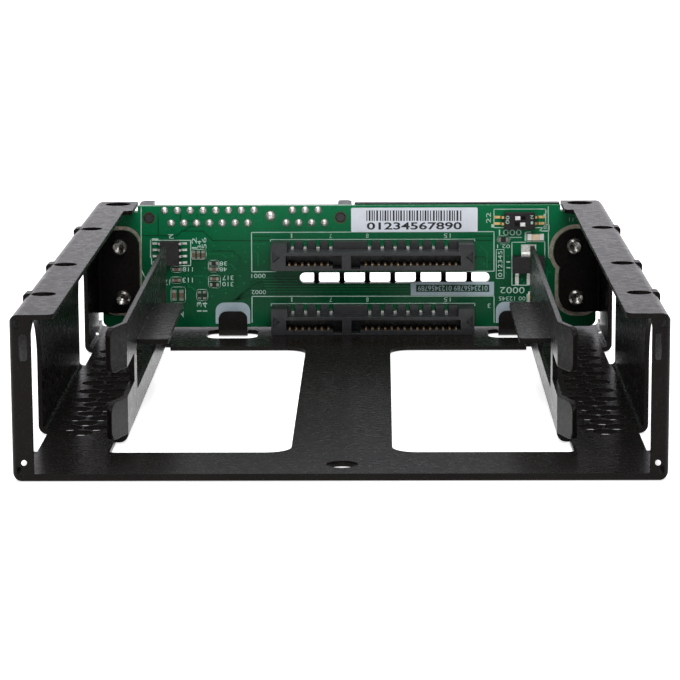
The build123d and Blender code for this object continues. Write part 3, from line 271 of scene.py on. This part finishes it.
# ------------------------------------------------------ thin printed layers
class Layer:
    """Thin flat shapes on an upright plane that faces the front, kept in one mesh."""

    def __init__(self, name, mat, plane_y, proud, slot=None):
        self.name, self.mat, self.y, self.proud, self.slot = name, mat, plane_y, proud, slot
        self.v, self.f = [], []

    def prism(self, poly):
        """poly: (X, Z) points in mm, counter-clockwise from the front."""
        n, k = len(poly), len(self.v)
        y0, y1 = (self.y + SHIFT - self.proud) * MM, (self.y + SHIFT) * MM
        area = sum(poly[i][0] * poly[(i + 1) % n][1] - poly[(i + 1) % n][0] * poly[i][1] for i in range(n))
        if area < 0:
            poly = poly[::-1]
        self.v += [(x * MM, y0, z * MM) for x, z in poly] + [(x * MM, y1, z * MM) for x, z in poly]
        self.f.append(list(range(k, k + n)))
        self.f.append(list(range(k + 2 * n - 1, k + n - 1, -1)))
        for i in range(n):
            j = (i + 1) % n
            self.f.append([k + j, k + i, k + n + i, k + n + j])

    def px(self, pts):
        return [on_plane(a, b, self.y) for a, b in pts]

    def line(self, pts, w, closed=False, mm=False):
        """A ribbon of width w mm along the given view points."""
        p = [Vector(q) for q in (pts if mm else self.px(pts))]
        n = len(p)
        h = w / 2
        for i in range(n if closed else n - 1):
            a, b = p[i], p[(i + 1) % n]
            d = (b - a).normalized()
            nrm = Vector((-d.y, d.x))
            a2 = a - d * (h * 0.98 if (closed or i > 0) else 0)
            b2 = b + d * (h * 0.98 if (closed or i < n - 2) else 0)
            self.prism([tuple(a2 - nrm * h), tuple(b2 - nrm * h), tuple(b2 + nrm * h), tuple(a2 + nrm * h)])

    def rect(self, x0, y0, x1, y1):
        """Filled rectangle between two view points."""
        self.prism(self.px([(x0, y1), (x1, y1), (x1, y0), (x0, y0)]))

    def frame(self, x0, y0, x1, y1, w, r=0.0):
        if r:
            self.line(round_rect(x0, y0, x1, y1, r), w, closed=True)
        else:
            self.line([(x0, y0), (x1, y0), (x1, y1), (x0, y1)], w, closed=True)

    def ring(self, cx, cz, r0, r1, n=28):
        """Flat ring in mm."""
        k = len(self.v)
        y0, y1 = (self.y + SHIFT - self.proud) * MM, (self.y + SHIFT) * MM
        for y in (y0, y1):
            for r in (r0, r1):
                for i in range(n):
                    a = 2 * math.pi * i / n
                    self.v.append(((cx + r * math.cos(a)) * MM, y, (cz + r * math.sin(a)) * MM))
        fi, fo, bi, bo = k, k + n, k + 2 * n, k + 3 * n
        for i in range(n):
            j = (i + 1) % n
            self.f.append([fi + i, fo + i, fo + j, fi + j])
            self.f.append([bi + i, bi + j, bo + j, bo + i])
            self.f.append([fo + i, bo + i, bo + j, fo + j])
            self.f.append([fi + i, fi + j, bi + j, bi + i])

    def text(self, body, px0, py0, px1, py1, turn=180, bold=0.0):
        """Plain figures filling the given view box, turned in the plane by the given angle."""
        cu = bpy.data.curves.new("figures", "FONT")
        cu.body = body
        cu.resolution_u = 3
        cu.offset = bold
        ob = bpy.data.objects.new("figures", cu)
        bpy.context.scene.collection.objects.link(ob)
        bpy.context.view_layer.update()
        me = bpy.data.meshes.new_from_object(ob.evaluated_get(bpy.context.evaluated_depsgraph_get()))
        pts = [(q.co.x, q.co.y) for q in me.vertices]
        a = math.radians(turn)
        pts = [(x * math.cos(a) - y * math.sin(a), x * math.sin(a) + y * math.cos(a)) for x, y in pts]
        lx, hx = min(q[0] for q in pts), max(q[0] for q in pts)
        lz, hz = min(q[1] for q in pts), max(q[1] for q in pts)
        (ax, az), (bx, bz) = on_plane(px0, py1, self.y), on_plane(px1, py0, self.y)
        k = len(self.v)
        y0 = (self.y + SHIFT - self.proud) * MM
        for x, z in pts:
            self.v.append(((ax + (x - lx) / (hx - lx) * (bx - ax)) * MM, y0,
                           (az + (z - lz) / (hz - lz) * (bz - az)) * MM))
        for q in me.polygons:
            vs = [k + i for i in q.vertices]
            if q.normal.z < 0:
                vs = vs[::-1]
            self.f.append(vs)
        bpy.data.objects.remove(ob)
        bpy.data.meshes.remove(me)
        bpy.data.curves.remove(cu)

    def done(self):
        me = bpy.data.meshes.new(self.name)
        me.from_pydata(self.v, [], self.f)
        me.validate()
        me.update()
        ob = bpy.data.objects.new(self.name, me)
        bpy.context.scene.collection.objects.link(ob)
        me.materials.append(self.mat)
        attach(ob, "enclosure")
        return ob


def round_rect(x0, y0, x1, y1, r, n=5):
    pts = []
    for cx, cy, a0 in ((x1 - r, y0 + r, -90), (x1 - r, y1 - r, 0), (x0 + r, y1 - r, 90), (x0 + r, y0 + r, 180)):
        for i in range(n + 1):
            a = math.radians(a0 + 90 * i / n)
            pts.append((cx + r * math.cos(a), cy + r * math.sin(a)))
    return pts


BOARD_Y = 130.5
LW = 0.17                       # printed line width, mm

# --- gaps between copper areas, darker lines under the mask
dark = Layer("mask_gaps", M["track"], BOARD_Y, 0.006)
for pts in ([(158.2, 214), (158.2, 235.6)], [(142.5, 235.6), (177, 235.6), (182, 231), (203, 231), (213, 240.7), (270, 240.7)],
            [(180.5, 214), (180.5, 221), (197, 221), (197, 214)], [(184, 230.8), (190, 226.5), (204, 226.5)],
            [(253, 236.2), (270, 236.2)], [(476, 240.5), (493, 240.5)], [(474, 236.0), (493, 236.0)],
            [(470, 262), (476, 257), (484, 257), (488, 262), (493, 262)]):
    dark.line(pts, 0.22)
for i in range(7):
    y = 276.6 + 2.75 * i
    dark.line([(236.0 + 1.2 * i, 300.2 - 0.2 * i), (252.0 + 1.3 * i, y + 5.0), (266 + 1.2 * i, y), (297, y)] if i < 2 else
              [(226.0 + 2.2 * i, 303.0 - 0.6 * i), (256.0 + 1.3 * i, y), (409 if i > 2 else 300, y)], 0.17)
for x in (500, 503.2, 506.4):
    dark.line([(x, 281), (x + 3, 285), (x + 3, 291)], 0.16)
dark.line([(186.4, 266), (186.4, 300), (192, 305)], 0.16)
dark.line([(228, 262), (236, 268), (236, 296)], 0.16)
dark.line([(212, 251), (232, 251), (240, 257), (240, 268)], 0.2)
dark.done()

lit = Layer("mask_tracks", M["track_lit"], BOARD_Y, 0.009)
for pts in ([(186, 213), (190, 217), (236, 217), (240, 221), (262, 221)], [(197, 227), (203, 227)],
            [(253, 244), (266, 244)], [(207, 254), (222, 254), (227, 258)], [(221, 264), (231, 264), (236, 270)],
            [(194, 276), (205, 276), (208, 279)], [(253, 250), (258, 254), (258, 266)],
            [(186, 283), (196, 291)], [(480, 246), (487, 252), (487, 268)],
            [(509, 288), (509, 301)], [(538, 262), (547, 268), (547, 284)]):
    lit.line(pts, 0.16)
for i in range(6):
    y = 278.0 + 2.75 * i
    lit.line([(262 + i, y), (296 if i < 1 else (408 if i > 2 else 298), y)], 0.13)
lit.done()

# --- printed outlines
ink = Layer("board_legend_lines", M["silk"], BOARD_Y, 0.018)
ink.line([(141.1, 207.2), (141.2, 262), (141.6, 270), (144.2, 276), (148, 280)], LW)
ink.line([(151.4, 240.3), (190.7, 240.3), (190.7, 265.6), (179, 265.6)], LW)
ink.line([(151.4, 240.3), (151.6, 264.5), (165, 264.8)], LW)
ink.rect(150.2, 238.4, 158.4, 239.9)
ink.rect(150.2, 238.4, 151.9, 258.0)
# socket outlines
ink.line([(251.5, 232.4), (494.0, 231.6), (494.0, 271.2), (466.5, 271.4)], LW)
ink.line([(251.5, 232.4), (251.8, 271.7), (276, 271.6)], LW)
ink.line([(270.4, 241.5), (270.4, 239.6), (474.8, 239.1), (474.8, 241.5)], 0.15)
ink.line([(252.1, 322.5), (252.0, 296.4), (494.0, 296.0), (494.1, 322.5)], LW)
ink.line([(271.2, 306.0), (271.2, 303.7), (474.8, 303.2), (474.8, 306.0)], 0.15)
# switch, lamps, regulator and ear outlines on the right
ink.line([(494.0, 209.2), (545.7, 209.0), (545.7, 227.6), (494.0, 227.6)], LW, closed=True)
ink.rect(491.3, 224.2, 493.6, 227.4)
ink.line([(548.2, 206.2), (548.5, 256.8), (556.3, 264.3), (556.5, 286), (558, 297), (562, 306)], LW)
ink.rect(524.6, 232.0, 526.6, 240.9)
ink.line([(526.6, 232.0), (531, 232.0)], LW)
ink.line([(526.6, 241.6), (544.8, 241.6)], LW)
ink.rect(543.6, 214.0, 545.2, 217.0)
ink.line([(511.9, 285.2), (511.9, 242.2), (526, 242.2)], LW)
ink.line([(544.8, 242.2), (544.8, 258)], LW)
ink.line([(511.9, 285.2), (529.5, 285.2)], LW)
ink.line([(510.4, 237.4), (521.8, 237.4)], LW)
ink.frame(496.2, 249.5, 504.0, 278.4, 0.12)
ink.line([(539.5, 231.0), (545.5, 224.5), (549.0, 224.5), (549.0, 231.0), (541, 231.0)], 0.2)
ink.rect(543.5, 226.0, 546.5, 229.0)
ink.rect(526.6, 293.8, 528.2, 301.9)
ink.line([(528.0, 301.9), (535.0, 301.9), (535.0, 296.0)], 0.14)
# the rounded outlines round the small chip parts
for x0, y0, x1, y1, r in ((191.6, 249.4, 206.2, 259.3, 2.6), (208.3, 260.3, 219.0, 272.0, 2.6),
                          (208.5, 275.3, 220.4, 287.8, 2.6), (170.9, 266.2, 182.0, 272.3, 2.4),
                          (170.4, 276.9, 182.2, 283.5, 2.6), (171.0, 286.9, 185.6, 302.8, 2.6),
                          (196.7, 289.4, 207.8, 300.7, 2.6), (497.2, 235.8, 509.8, 243.0, 2.8)):
    ink.frame(x0, y0, x1, y1, 0.11, r)
ink.line([(208.6, 266.1), (218.8, 266.1)], 0.09)
ink.line([(208.8, 281.5), (220.2, 281.5)], 0.09)
# two marks above the right ear
for x in (569.5, 573.0):
    ink.line([(x, 217.5), (x, 221.5)], 0.13)
ink.done()

# --- plain figures
fig = Layer("board_legend_figures", M["silk"], BOARD_Y, 0.018)
for body, x0, y0, x1, y1, turn in (
        ("1", 290.9, 233.6, 292.2, 238.0, 180), ("7", 329.4, 233.6, 331.8, 238.0, 180),
        ("8", 366.0, 233.6, 368.6, 238.0, 180), ("15", 443.9, 233.4, 450.6, 237.8, 180),
        ("1", 291.2, 297.4, 292.4, 301.8, 180), ("7", 329.6, 297.4, 332.0, 301.8, 180),
        ("8", 366.2, 297.4, 368.6, 301.8, 180), ("15", 444.0, 297.2, 450.6, 301.6, 180),
        ("2", 168.2, 234.3, 173.8, 238.7, 180),
        ("12", 191.8, 237.6, 196.6, 248.6, 90), ("34", 197.4, 240.6, 201.2, 248.6, 90), ("56", 201.9, 237.6, 206.3, 248.6, 90),
        ("38", 219.6, 261.4, 227.0, 265.7, 180), ("48", 219.6, 267.2, 227.0, 271.4, 180),
        ("317", 222.4, 275.5, 233.4, 280.2, 180), ("310", 222.4, 281.9, 233.4, 286.4, 180),
        ("118", 182.8, 267.2, 192.8, 271.5, 180), ("113", 182.8, 277.6, 192.8, 282.6, 180),
        ("17", 165.0, 279.4, 169.8, 284.8, 180), ("13", 197.0, 301.9, 201.4, 311.6, 90), ("14", 202.6, 301.9, 207.2, 311.6, 90),
        ("21", 178.4, 307.0, 183.4, 317.4, 90),
        ("0001", 251.4, 273.8, 265.6, 278.0, 180), ("0002", 251.6, 290.0, 265.9, 294.2, 180),
        ("22", 486.2, 212.6, 490.8, 223.0, 90), ("0001", 498.8, 229.6, 521.6, 235.4, 180),
        ("02.1", 497.2, 244.4, 510.0, 248.2, 180), ("012345", 497.8, 251.0, 502.4, 276.8, 90),
        ("11", 506.4, 261.4, 510.4, 268.2, 90), ("0002", 500.0, 287.0, 524.6, 293.4, 180),
        ("00 12345", 498.8, 296.4, 525.4, 300.6, 180), ("2", 546.2, 210.5, 548.0, 213.2, 180),
        ("3", 487.6, 303.5, 490.6, 308.0, 180)):
    fig.text(body, x0, y0, x1, y1, turn)
fig.done()

# --- solid printed blocks: arches round the drive stops, the title frame; white ink given a blue-grey painted shade
blk = Layer("board_legend_blocks", M["silk_blue"], BOARD_Y, 0.014)
ZB = on_plane(300, 323.5, BOARD_Y)[1]


def arch(x0, x1, z1, side, top, r):
    """A standing band round a drive stop: outer corners rounded; X and Z in mm."""
    out, inn = [], []
    for cx, a0 in ((x0 + r, 180), (x1 - r, 90)):
        for i in range(7):
            a = math.radians(a0 - 90 * i / 6)
            out.append((cx + r * math.cos(a), z1 - r + r * math.sin(a)))
    ri = max(0.2, r - side)
    for cx, a0 in ((x0 + side + ri, 180), (x1 - side - ri, 90)):
        for i in range(7):
            a = math.radians(a0 - 90 * i / 6)
            inn.append((cx + ri * math.cos(a), z1 - top - ri + ri * math.sin(a)))
    out = [(x0, ZB)] + out + [(x1, ZB)]
    inn = [(x0 + side, ZB)] + inn + [(x1 - side, ZB)]
    for i in range(len(out) - 1):
        blk.prism([out[i], inn[i], inn[i + 1], out[i + 1]])


(ax0, az1), (ax1, _) = on_plane(215.5, 302.6, BOARD_Y), on_plane(250.0, 302.6, BOARD_Y)
arch(ax0, ax1, az1, 1.0, 2.3, 1.7)
mirror_x = 2 * 4.75
arch(mirror_x - ax1, mirror_x - ax0, az1 + 0.02, 1.0, 2.3, 1.7)
for r in ((410.8, 281.8, 494.0, 284.6), (410.8, 291.9, 494.0, 295.4), (410.8, 284.6, 416.1, 291.9), (489.2, 284.6, 494.0, 291.9)):
    blk.rect(*r)
blk.done()
plate = Layer("title_frame_field", M["track"], BOARD_Y, 0.010)
plate.rect(416.1, 284.6, 489.2, 291.9)
plate.done()
# the title figures share the white ink's blue-grey painted shade
title = Layer("title_frame_figures", M["silk_blue"], BOARD_Y, 0.016)
title.text("0123456789 0123456789", 418.0, 285.6, 487.6, 290.9, 180)
title.done()

# --- rings round holes, solder pads and plated through holes
PLUG_X = -20.68
ring = Layer("plated_rings", M["copper"], BOARD_Y, 0.012, "solder")
for x in (PLUG_X - 19.05, PLUG_X + 19.05):
    ring.ring(x, 23.5, 0.96, 1.22, 40)
ring.done()
stain = Layer("flux_rings", M["flux"], BOARD_Y, 0.010)
pins = [(PLUG_X - 15.9 + 2.54 * k, 25.0) for k in range(8)] + [(PLUG_X - 14.63 + 2.54 * k, 22.5) for k in range(7)] \
    + [(PLUG_X + 8.23 + 2.54 * k, 22.5) for k in range(4)] + [(PLUG_X + 9.5 + 2.54 * k, 25.0) for k in range(3)]
for x, z in pins:
    stain.ring(x, z, 0.45, 0.80, 28)
stain.ring(PLUG_X + 5.13, 23.9, 0.6, 1.08, 32)
stain.done()
via = Layer("plated_vias", M["track_lit"], BOARD_Y, 0.011)
spots = [(183.2, 262), (214, 246), (229, 247), (232, 256), (245, 252), (246, 262), (205, 268), (200, 282), (189, 287),
         (212, 296), (226, 293), (240, 276), (244, 283), (258, 247), (264, 262), (480, 250), (484, 264), (478, 290),
         (508, 256), (506, 273), (522, 279), (524, 283), (541, 266), (550, 272), (546, 290), (187, 275), (216, 231),
         (246, 232), (300, 228.5), (333, 228), (166, 229), (150, 229)]
for a, b in spots:
    x, z = on_plane(a, b, BOARD_Y)
    via.ring(x, z, 0.09, 0.20, 16)
via.done()

# --- label print
lab_lo, lab_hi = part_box("serial_label")
LAB_Y = lab_lo.y / MM - SHIFT
bars = Layer("label_bars", M["ink"], LAB_Y, 0.008)
x = 366.4
k = 0
while x < 461.4:
    w = (1.0, 2.2, 1.2, 3.0, 1.1, 1.8, 1.0, 2.7)[(k * 5 + k // 3) % 8]
    bars.rect(x, 210.4, min(x + w, 462.0), 220.9)
    x += w + (1.3, 1.0, 1.8, 1.1, 1.5)[(k * 3) % 5]
    k += 1
bars.done()
digits = Layer("label_figures", M["ink"], LAB_Y, 0.008)
digits.text("01234567890", 366.8, 222.0, 461.8, 229.8, 0, 0.022)
digits.done()

# --- switch figures
sw_lo, sw_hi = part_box("mode_switch_body")
SW_Y = sw_lo.y / MM - SHIFT
swf = Layer("mode_switch_figures", M["silk"], SW_Y, 0.008)
swf.text("2", 530.2, 215.4, 533.6, 219.0, 180)
swf.text("1", 530.8, 221.4, 533.0, 224.2, 180)
swf.text("00", 505.7, 215.8, 509.4, 223.9, 90)
swf.done()

# ------------------------------------------------------------------ stage
bpy.ops.mesh.primitive_plane_add(size=24, location=(0, 4, -0.0002))
floor = bpy.context.object
floor.name = "floor"
fm, fnt, fb = material("pale_floor")
fv = coords(fnt)
link(fnt, blend_colour(fnt, span(fnt, noise(fnt, fv, 3.0), 0, 1), (0.90, 0.90, 0.90), (0.92, 0.92, 0.92)), fb.inputs["Base Color"])
fb.inputs["Roughness"].default_value = 0.7
fb.inputs["Specular IOR Level"].default_value = 0.2
fb.inputs["Emission Color"].default_value = (1, 1, 1, 1)
fb.inputs["Emission Strength"].default_value = 0.75
floor.data.materials.append(fm)

world = bpy.data.worlds.new("studio")
bpy.context.scene.world = world
world.use_nodes = True
wn = world.node_tree
bg = wn.nodes["Background"]
tc = wn.nodes.new("ShaderNodeTexCoord")
sep = wn.nodes.new("ShaderNodeSeparateXYZ")
wn.links.new(tc.outputs["Generated"], sep.inputs["Vector"])
mr = wn.nodes.new("ShaderNodeMapRange")
mr.interpolation_type = "SMOOTHSTEP"
mr.inputs["From Min"].default_value = -0.10
mr.inputs["From Max"].default_value = 0.80
mr.inputs["To Min"].default_value = 0.10
mr.inputs["To Max"].default_value = 1.0
wn.links.new(sep.outputs["Y"], mr.inputs["Value"])
low = wn.nodes.new("ShaderNodeMapRange")
low.interpolation_type = "SMOOTHSTEP"
low.inputs["From Min"].default_value = 0.10
low.inputs["From Max"].default_value = 0.27
low.inputs["To Min"].default_value = 1.85
low.inputs["To Max"].default_value = 0.42
wn.links.new(sep.outputs["Z"], low.inputs["Value"])
both = wn.nodes.new("ShaderNodeMath"); both.operation = "MULTIPLY"
wn.links.new(mr.outputs["Result"], both.inputs[0])
wn.links.new(low.outputs["Result"], both.inputs[1])
wn.links.new(both.outputs["Value"], bg.inputs["Strength"])
bg.inputs["Color"].default_value = (0.97, 0.95, 1.0, 1)


def area(name, loc, target, size, power, colour=(1, 1, 1)):
    li = bpy.data.lights.new(name, "AREA")
    li.energy = power
    li.size = size
    li.color = colour
    ob = bpy.data.objects.new(name, li)
    ob.location = loc
    ob.rotation_mode = "QUATERNION"
    ob.rotation_quaternion = (Vector(target) - Vector(loc)).to_track_quat("-Z", "Y")
    bpy.context.scene.collection.objects.link(ob)
    return ob


area("top_softbox", (-0.10, 0.20, 0.95), (0, 0.02, 0), 0.9, 8.0)
area("front_fill", (0.10, -0.80, 0.80), (0, 0.05, 0.01), 0.7, 9.0)

# ----------------------------------------------------------------- camera
cd = bpy.data.cameras.new("view")
cam = bpy.data.objects.new("view", cd)
bpy.context.scene.collection.objects.link(cam)
bpy.context.scene.camera = cam
cd.sensor_fit = "HORIZONTAL"
cd.sensor_width = 36.0
cd.lens = FOC * 36.0 / 680.0
cd.clip_start, cd.clip_end = 0.01, 60.0
loc = Vector((CAM.x, CAM.y + SHIFT, CAM.z)) * MM
rot = Matrix((R, U, -F)).transposed()
cam.matrix_world = Matrix.Translation(loc) @ rot.to_4x4()

bpy.context.scene.view_settings.view_transform = "Standard"
bpy.context.scene.view_settings.look = "None"
bpy.context.scene.view_settings.exposure = 0.0
